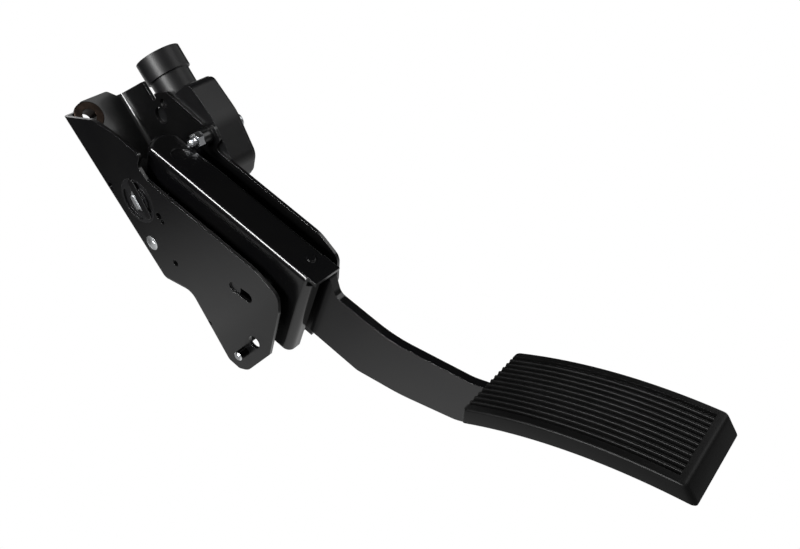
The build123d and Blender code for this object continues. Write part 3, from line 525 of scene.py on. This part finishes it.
def pad_block(x0, x1, s0, s1, d0, d1):
    """Curved block between two places across, two arc lengths and two depths."""
    rings = []
    for i in range(BLOCK_STEPS + 1):
        s = s0 + (s1 - s0) * i / BLOCK_STEPS
        rings.append([pad_point(x, s, depth) for x, depth in ((x0, d0), (x1, d0), (x1, d1), (x0, d1))])
    return skin("pad_block", rings)


margin = (PAD_X[1] - PAD_X[0] - (RIBS - 1) * RIB_PITCH - RIB_WIDTH) / 2
rim = margin + RIB_WIDTH
plate_back = PLATE_DEPTH + PLATE_THICK
pocket_rim, pocket_end = PLATE_RIM - POCKET_GAP, PLATE_END - POCKET_GAP
arm_near, arm_far = [corner.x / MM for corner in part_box("pedal_arm")]
field = pad_block(PAD_X[0] + rim, PAD_X[1] - rim, -PAST, face_length - PLAIN_END, -PAST / 2, RIB_HEIGHT)
pocket = pad_block(PAD_X[0] + pocket_rim, PAD_X[1] - pocket_rim, pocket_end, face_length - pocket_end,
                   PLATE_DEPTH - POCKET_GAP, plate_back + POCKET_GAP)
opening = pad_block(PAD_X[0] + OPENING_RIM, PAD_X[1] - OPENING_RIM, PLATE_END, face_length - OPENING_END,
                    plate_back - OPENING_LAP, PAD_THICK + PAST)
notch = pad_block(arm_near - ARM_GAP, arm_far + ARM_GAP, NOTCH_START, NOTCH_END,
                  PLATE_DEPTH - POCKET_GAP, PAD_THICK + PAST)
pad_mesh = carved(plain_pad, [field, pocket, opening, notch])
new_piece("pad_rubber", pad_mesh, rubber, "lever", ["pedal_pad"])

# %% [markdown]
# The ribs are one moulded form repeated across the pad, so one rib is modelled and Geometry Nodes
# sets its copies on a Mesh Line. The copies are made real and the result is kept as a plain mesh.
# The mould's draft makes a rib wider at its foot, and the foot is sunk a little in the field.

# %% Ribs of the pad
RIB_ROUND, DRAFT, SUNK = 0.55, 0.12, 0.15
RIB_START, END_LAP, ROUND_STEPS, RIB_STEPS = 0.3, 0.2, 4, 36


def repeat_across():
    """Group that sets copies of a form at an even pitch along X."""
    group, start, end = node_group("repeat_across", {"Count": "Int", "Pitch": "Float", "Finish": "Material"})
    step = add_node(group, "ShaderNodeCombineXYZ", {"X": start.outputs["Pitch"]})
    line = add_node(group, "GeometryNodeMeshLine", {
        "Count": start.outputs["Count"], "Offset": step.outputs[0]})
    copies = add_node(group, "GeometryNodeInstanceOnPoints", {
        "Points": line.outputs[0], "Instance": start.outputs["Geometry"]})
    return painted_end(group, start, end, copies)


first_x = PAD_X[0] + margin + RIB_WIDTH / 2 + RIB_PITCH
half = RIB_WIDTH / 2 - DRAFT
foot = (half + 2 * DRAFT, RIB_HEIGHT + SUNK)
section = [(-foot[0], foot[1])]
for sign, turn in ((-1, 1), (1, -1)):
    for a in quarter_turn(ROUND_STEPS)[::turn]:
        x = half - RIB_ROUND + RIB_ROUND * math.cos(a)
        section.append((sign * x, RIB_ROUND - RIB_ROUND * math.sin(a)))
section.append(foot)
rib_stop = face_length - PLAIN_END + END_LAP
rib_rings = []
for i in range(RIB_STEPS + 1):
    s = RIB_START + (rib_stop - RIB_START) * i / RIB_STEPS
    rib_rings.append([pad_point(first_x + x, slanted(s, depth), depth) for x, depth in section])
rib_mesh = grown(skin("pad_ribs", rib_rings), repeat_across(),
                 {"Count": RIBS - 2, "Pitch": RIB_PITCH * MM, "Finish": rubber})
new_piece("pad_ribs", rib_mesh, rubber, "lever")

# %% [markdown]
# The return springs are torsion springs of round wire. One leg leans on a stud of the flank, the coil
# lies around the hub of the pivot bush, and the other leg ends in a hook through the lever. The wire
# is a line of close points with a round bevel, so it bends smoothly where the solid runs straight.
# The hooked leg moves with the lever, and the coil stays with the bracket. The last bit of the coil
# belongs to both, so the wire looks whole at every angle: the leg slides along the coil's own circle.

# %% Return springs
COIL_RADIUS, COIL_STEP, SHARED_STEPS = 14.5, 6.0, 4
LEG_TAIL, HOOK_WIRES, HOOK_STEPS = 4.0, 1.2, 8
TURN_GAP, STUD_GAP, OVER_WIRE = 0.08, 0.05, 0.02
WIRE_ROUNDNESS = 4
EYE = lever_point(0, 32.0, -6.0) / MM


def leg_turn(spot, bearing, side):
    """Angle on the coil, in degrees, at which a straight leg leaves it to pass a spot."""
    dy, dz = spot[0] - pivot.y / MM, spot[1] - pivot.z / MM
    return math.degrees(math.atan2(dz, dy) + side * math.acos((COIL_RADIUS + bearing) / math.hypot(dy, dz)))


def outwards(turn):
    """Direction from the pivot at an angle in degrees."""
    return Vector((0, math.cos(math.radians(turn)), math.sin(math.radians(turn))))


def coil_spot(turn):
    return Vector((0, pivot.y / MM, pivot.z / MM)) + COIL_RADIUS * outwards(turn)


def wire_piece(name, points, thick, body, replaces=()):
    """Round wire through points in millimetres, as a piece that rides on a body."""
    curve = bpy.data.curves.new(name, "CURVE")
    curve.dimensions = "3D"
    curve.bevel_depth, curve.bevel_resolution, curve.use_fill_caps = thick / 2 * MM, WIRE_ROUNDNESS, True
    line = curve.splines.new("POLY")
    line.points.add(len(points) - 1)
    for target, point in zip(line.points, points):
        target.co = (*(point * MM), 1.0)
    thing = bpy.data.objects.new(name, curve)
    bpy.context.scene.collection.objects.link(thing)
    mesh = baked(thing)
    bpy.data.objects.remove(thing)
    new_piece(name, mesh, spring_wire, body, replaces)


def make_spring(side, way, wire, turns, anchor, neck):
    """Coil and hooked leg of a spring that starts beside its flank and winds inwards along X."""
    node, across = "return_spring_" + side, Vector((1, 0, 0))
    outer, hook_x = [corner.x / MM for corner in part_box(node)][::way]
    x, bearing = outer + way * wire / 2, (neck + wire) / 2 + STUD_GAP
    start, stop = leg_turn(anchor, bearing, 1), leg_turn((EYE.y, EYE.z), 0, -1)
    turned_by = (stop - start) % 360 + 360 * turns
    advance = way * (wire + TURN_GAP) * turned_by / 360
    foot = Vector((0, *anchor)) - bearing * outwards(start)
    leg = foot - coil_spot(start)
    coil = [x * across + foot + leg * (LEG_TAIL / leg.length), x * across + foot]
    steps = round(turned_by / COIL_STEP)
    for i in range(steps + 1):
        coil.append((x + advance * i / steps) * across + coil_spot(start + turned_by * i / steps))
    back, bend = (coil_spot(stop) - EYE).normalized(), HOOK_WIRES * wire
    hook = []
    for a in quarter_turn(HOOK_STEPS):
        hook_place = x + advance + way * bend * (1 - math.cos(a))
        hook.append(hook_place * across + EYE + back * bend * (1 - math.sin(a)))
    hook.append(hook_x * across + EYE)
    shared = coil[-1 - SHARED_STEPS:]
    wire_piece("spring_wire_" + side + "_coil", coil, wire, "bracket", [node])
    wire_piece("spring_wire_" + side + "_leg", shared + hook, wire + 2 * OVER_WIRE, "lever")


make_spring("near", 1, wire=2.0, turns=1, anchor=(-10.4, -35.5), neck=5.0)
make_spring("far", -1, wire=2.5, turns=2, anchor=(-10.4, -36.5), neck=4.5)

# %% [markdown]
# The sensor's screws show their threaded ends inside the bracket. The screw is turned from a profile
# of place and radius, the hexagon socket is cut out, and the thread is a Geometry Nodes spiral with a
# three-sided profile: one turn each 0.8 mm, as on an M5 screw.

# %% Sensor screws
THREAD_PITCH, THREAD_LENGTH, THREAD_RADIUS, RIDGE_RADIUS, THREAD_SIDES = 0.8, 13.6, 2.12, 0.36, 28
TIP_RADIUS, TIP_LENGTH, CORE_RADIUS, SHANK_RADIUS, RUN_OUT = 1.3, 0.7, 2.05, 2.5, 0.5
HEAD_RADIUS, HEAD_LENGTH, HEAD_ROUND, HEAD_STEPS = 4.5, 3.0, 1.2, 6
HEEL_IN, HEEL_LENGTH = 0.05, 0.15
SOCKET_RADIUS, SOCKET_DEPTH = 2.2, 1.5


def thread_group():
    """Group that adds a three-sided ridge to a screw, in a spiral along X from a place."""
    group, start, end = node_group("thread", {"Turns": "Float", "Radius": "Float", "Length": "Float",
                                              "Ridge": "Float", "Place": "Vector", "Finish": "Material"})
    spiral = add_node(group, "GeometryNodeCurveSpiral", {
        "Resolution": THREAD_SIDES, "Rotations": start.outputs["Turns"], "Height": start.outputs["Length"],
        "Start Radius": start.outputs["Radius"], "End Radius": start.outputs["Radius"]})
    ridge = add_node(group, "GeometryNodeCurvePrimitiveCircle", {
        "Resolution": 3, "Radius": start.outputs["Ridge"]})
    ribbon = add_node(group, "GeometryNodeCurveToMesh", {
        "Curve": spiral.outputs[0], "Profile Curve": ridge.outputs[0], "Fill Caps": True})
    placed = add_node(group, "GeometryNodeTransform", {
        "Geometry": ribbon.outputs[0], "Translation": start.outputs["Place"],
        "Rotation": (0, math.pi / 2, 0)})
    joined = add_node(group, "GeometryNodeJoinGeometry")
    group.links.new(start.outputs["Geometry"], joined.inputs[0])
    group.links.new(placed.outputs[0], joined.inputs[0])
    return painted_end(group, start, end, joined)


thread = thread_group()
thread_run = THREAD_LENGTH - 1
for node in ("sensor_screw_front", "sensor_screw_rear"):
    low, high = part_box(node)
    place = ((low.y + high.y) / 2 / MM, (low.z + high.z) / 2 / MM)
    tip, top = low.x / MM, high.x / MM
    thread_end, head = tip + THREAD_LENGTH, top - HEAD_LENGTH
    profile = [(tip, TIP_RADIUS), (tip + TIP_LENGTH, CORE_RADIUS), (thread_end, CORE_RADIUS),
               (thread_end + RUN_OUT, SHANK_RADIUS), (head, SHANK_RADIUS),
               (head, HEAD_RADIUS - HEEL_IN), (head + HEEL_LENGTH, HEAD_RADIUS)]
    for a in quarter_turn(HEAD_STEPS):
        radius = HEAD_RADIUS - HEAD_ROUND + HEAD_ROUND * math.cos(a)
        profile.append((top - HEAD_ROUND + HEAD_ROUND * math.sin(a), radius))
    socket = turned("socket", [(top - SOCKET_DEPTH, SOCKET_RADIUS), (top + 1, SOCKET_RADIUS)], place, 6)
    screw = carved(turned(node + "_form", profile, place), [socket])
    screw = grown(screw, thread, {"Turns": thread_run / THREAD_PITCH, "Radius": THREAD_RADIUS * MM,
                                  "Length": thread_run * MM, "Ridge": RIDGE_RADIUS * MM,
                                  "Finish": fastener_zinc,
                                  "Place": ((tip + TIP_LENGTH) * MM, place[0] * MM, place[1] * MM)})
    new_piece(node + "_form", screw, fastener_zinc, "bracket", [node])

# %% [markdown]
# The stud that holds the near spring is riveted in the flank. Its head is a low dome, which gathers
# light from all round and so shows bright, with the notch of the riveting tool at its edge.

# %% Riveted stud
RIVET_THICK, RIVET_NECK, DOME, DOME_STEPS = 3.0, 2.5, 1.0, 8
NOTCH_RADIUS, NOTCH_DEPTH, NOTCH_RISE = 2.0, 0.8, 0.45

low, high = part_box("spring_anchor_near")
rivet_place = ((low.y + high.y) / 2 / MM, (low.z + high.z) / 2 / MM)
rivet_radius, face = (high.y - low.y) / 2 / MM, low.x / MM
ball = (rivet_radius ** 2 + DOME ** 2) / (2 * DOME)
steep = math.asin(rivet_radius / ball)
profile = []
for k in range(1, DOME_STEPS + 1):
    a = steep * k / DOME_STEPS
    profile.append((face + ball * (1 - math.cos(a)), ball * math.sin(a)))
seat = face + RIVET_THICK
profile += [(seat, rivet_radius), (seat, RIVET_NECK), (high.x / MM, RIVET_NECK)]
notch_place = (rivet_place[0] - rivet_radius, rivet_place[1] + NOTCH_RISE)
tool_mark = turned("notch", [(face - 1, NOTCH_RADIUS), (face + NOTCH_DEPTH, NOTCH_RADIUS)], notch_place)
rivet = carved(turned("rivet_form", profile, rivet_place), [tool_mark])
new_piece("rivet_form", rivet, zinc, "bracket", ["spring_anchor_near"])
print("head of the rivet", round(2 * rivet_radius, 1), "mm across")

# %% [markdown]
# The arm is welded into the channel and to the pad's plate. A weld bead is a row of overlapping drops
# of metal, here one each 1.4 mm. A row of points carries small balls by Geometry Nodes, whose size
# varies a little, and the paint covers it all.

# %% Weld beads
DROP_STEP, DROP_RADIUS, DROP_SMALLEST, DROP_LARGEST, DROP_SEED = 1.4, 1.5, 0.88, 1.08, 0
CHANNEL_WELD_U, CHANNEL_WELD_W, CHANNEL_DROPS, CHANNEL_SINK = 87.0, 17.3, 20, 0.6
PLATE_WELD_S, PLATE_DROPS, PLATE_SINK = 9.0, 22, 0.3


def bead_group():
    """Group that sets a drop on each point, of a random size between two limits."""
    group, start, end = node_group("weld_bead", {"Radius": "Float", "Smallest": "Float", "Largest": "Float",
                                                 "Seed": "Int", "Finish": "Material"})
    drop = add_node(group, "GeometryNodeMeshIcoSphere", {
        "Radius": start.outputs["Radius"], "Subdivisions": 3})
    size = add_node(group, "FunctionNodeRandomValue", {
        2: start.outputs["Smallest"], 3: start.outputs["Largest"], "Seed": start.outputs["Seed"]},
        data_type="FLOAT")
    copies = add_node(group, "GeometryNodeInstanceOnPoints", {
        "Points": start.outputs["Geometry"], "Instance": drop.outputs[0], "Scale": size.outputs[1]})
    return painted_end(group, start, end, copies)


bead_points = [lever_point(arm_far - CHANNEL_SINK, CHANNEL_WELD_U + DROP_STEP * i, CHANNEL_WELD_W)
               for i in range(CHANNEL_DROPS)]
for side in (arm_near + PLATE_SINK, arm_far - PLATE_SINK):
    bead_points += [pad_point(side, PLATE_WELD_S + DROP_STEP * i, plate_back + PLATE_SINK)
                    for i in range(PLATE_DROPS)]
drops = bpy.data.meshes.new("arm_welds")
drops.from_pydata(bead_points, [], [])
welds = grown(drops, bead_group(), {"Radius": DROP_RADIUS * MM, "Smallest": DROP_SMALLEST,
                                    "Largest": DROP_LARGEST, "Seed": DROP_SEED, "Finish": gloss_steel})
new_piece("arm_welds", welds, gloss_steel, "lever")

# %% [markdown]
# The studio is a pale floor and a round backdrop. The photograph's ground is pure white, so the
# camera sees white there, while reflections see paper that glows differently from place to place. On
# the backdrop it fades upwards, which shades the near flank from grey below to black above. On the
# floor it is brightest under the pedal and fades to both sides, which shades the arm and the pad's
# side. The places and strengths are pairs on a Color Ramp.

# %% Floor and backdrop
FLOOR_DROP, FLOOR_REACH = 0.06, 4.0
BACKDROP_RADIUS, BACKDROP_HEIGHT, BACKDROP_STEPS = 1.7, 1.6, 48
BACKDROP_FROM, BACKDROP_TURN = -70.0, 168.0
ROOM_GLOW = 0.025

floor_z = cad_low.z - FLOOR_DROP
FLOOR_GLOW = [(-0.36, 0.12), (-0.14, 0.62), (0.0, 0.85), (0.75, 0.28), (2.0, 0.30)]
WALL_GLOW = [(floor_z, 0.62), (floor_z + 0.33, 0.01)]


def white_to_camera(tree, glow):
    """Strength that is 1, so white, where the camera looks, and a glow where a reflection does."""
    seen = add_node(tree, "ShaderNodeLightPath").outputs["Is Camera Ray"]
    choice = add_node(tree, "ShaderNodeMix", {"Factor": seen, "A": glow, "B": 1.0}, data_type="FLOAT")
    return choice.outputs[0]


def make_paper(name, axis, glow):
    """Paper that glows by pairs of a place on an axis, in metres, and a strength."""
    material = bpy.data.materials.new(name)
    material.use_nodes = True
    tree = material.node_tree
    tree.nodes.clear()
    place = add_node(tree, "ShaderNodeTexCoord").outputs["Object"]
    distance = add_node(tree, "ShaderNodeSeparateXYZ", {"Vector": place}).outputs[axis]
    first, last = glow[0][0], glow[-1][0]
    share = add_node(tree, "ShaderNodeMapRange", {"Value": distance, "From Min": first, "From Max": last})
    ramp = add_node(tree, "ShaderNodeValToRGB", {"Fac": share.outputs[0]})
    for spot, strength in glow[1:-1]:
        ramp.color_ramp.elements.new((spot - first) / (last - first))
    for stop, (spot, strength) in zip(ramp.color_ramp.elements, glow):
        stop.color = (strength, strength, strength, 1.0)
    shine = add_node(tree, "ShaderNodeEmission", {"Strength": white_to_camera(tree, ramp.outputs[0])})
    add_node(tree, "ShaderNodeOutputMaterial", {"Surface": shine.outputs[0]})
    return material


def stage_mesh(name, vertices, faces, material):
    """Add a sheet of paper that isn't part of the pedal."""
    mesh = bpy.data.meshes.new(name)
    mesh.from_pydata(vertices, [], faces)
    mesh.materials.append(material)
    thing = bpy.data.objects.new(name, mesh)
    bpy.context.scene.collection.objects.link(thing)


floor_corners = [(FLOOR_REACH * x, FLOOR_REACH * y, floor_z) for x, y in ((-1, -1), (1, -1), (1, 1), (-1, 1))]
stage_mesh("floor", floor_corners, [(0, 1, 2, 3)], make_paper("floor_paper", "Y", FLOOR_GLOW))
heading, steps = math.atan2(LOOK.y, LOOK.x), BACKDROP_STEPS
ring = [heading + math.radians(BACKDROP_FROM + BACKDROP_TURN * i / steps) for i in range(steps + 1)]
wall_points = [(BACKDROP_RADIUS * math.cos(a), BACKDROP_RADIUS * math.sin(a), z)
               for z in (floor_z, floor_z + BACKDROP_HEIGHT) for a in ring]
wall_faces = [(i, i + 1, steps + 2 + i, steps + 1 + i) for i in range(steps)]
stage_mesh("backdrop", wall_points, wall_faces, make_paper("backdrop_paper", "Z", WALL_GLOW))

world = bpy.data.worlds.new("studio")
bpy.context.scene.world = world
world.use_nodes = True
world.node_tree.nodes.clear()
room = add_node(world.node_tree, "ShaderNodeBackground", {
    "Color": (1, 1, 1, 1), "Strength": white_to_camera(world.node_tree, ROOM_GLOW)})
add_node(world.node_tree, "ShaderNodeOutputWorld", {"Surface": room.outputs[0]})
print("floor lies", round((cad_low.z - floor_z) / MM), "mm under the pad")

# %% [markdown]
# A dark glossy thing is drawn by what it reflects, so the lamps that shape it are small and bright.
# The key strip stands to the upper left, turned along the web of the lever, and its reflection runs
# as a bright line along every fold that faces it. The fold lamp, low on the left, draws the fold
# behind the bolt eye, and the lamp at the front right lights the back plate. The others are weak and
# wide: they fill the front, the left, the right, the back and the top. No lamp shows to the camera.

# %% Lamps
def soft_lamp(name, aim, direction, distance, size, watts, along=(0, 0, 1)):
    """A rectangular lamp that looks at a point, with its long side turned along a direction."""
    lamp = bpy.data.lights.new(name, "AREA")
    lamp.shape = "RECTANGLE"
    lamp.size, lamp.size_y = size
    lamp.energy = watts
    thing = bpy.data.objects.new(name, lamp)
    towards = Vector(direction).normalized()
    side = Vector(along).cross(towards).normalized()
    turn = Matrix((side, towards.cross(side), towards)).transposed().to_4x4()
    thing.matrix_world = Matrix.Translation(aim + towards * distance) @ turn
    thing.visible_camera = False
    bpy.context.scene.collection.objects.link(thing)
    print(name, "gives", watts, "W")


middle = (cad_low + cad_high) / 2
over_web = lever_point(-3, 60, -30)
web_line = lever_point(0, 0, 0) - lever_point(0, 1, 0)
fold = Vector((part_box("bracket")[1].x, 0.0, 0.045))
soft_lamp("key_strip", over_web, (-0.73, -0.224, 0.65), 1.1, (0.12, 0.46), 13.0, web_line)
soft_lamp("fold_lamp", fold, (-0.87, -0.35, 0.165), 1.1, (0.22, 0.22), 9.0)
soft_lamp("front_right", middle, (0.56, -0.84, 0.30), 1.0, (0.6, 0.6), 2.0)
soft_lamp("front_fill", middle, (-0.05, -1.0, 0.0), 1.2, (0.8, 0.35), 1.0)
soft_lamp("left_fill", middle, (-0.75, -0.66, -0.02), 1.2, (0.8, 0.35), 1.0)
soft_lamp("right_fill", middle, (0.97, -0.2, -0.05), 1.2, (1.0, 1.0), 2.5)
soft_lamp("back_fill", middle, (0.35, 0.9, 0.35), 1.2, (1.0, 1.0), 4.0)
soft_lamp("top_lamp", middle, (0.1, 0.15, 1.0), 1.4, (0.9, 0.9), 0.6)
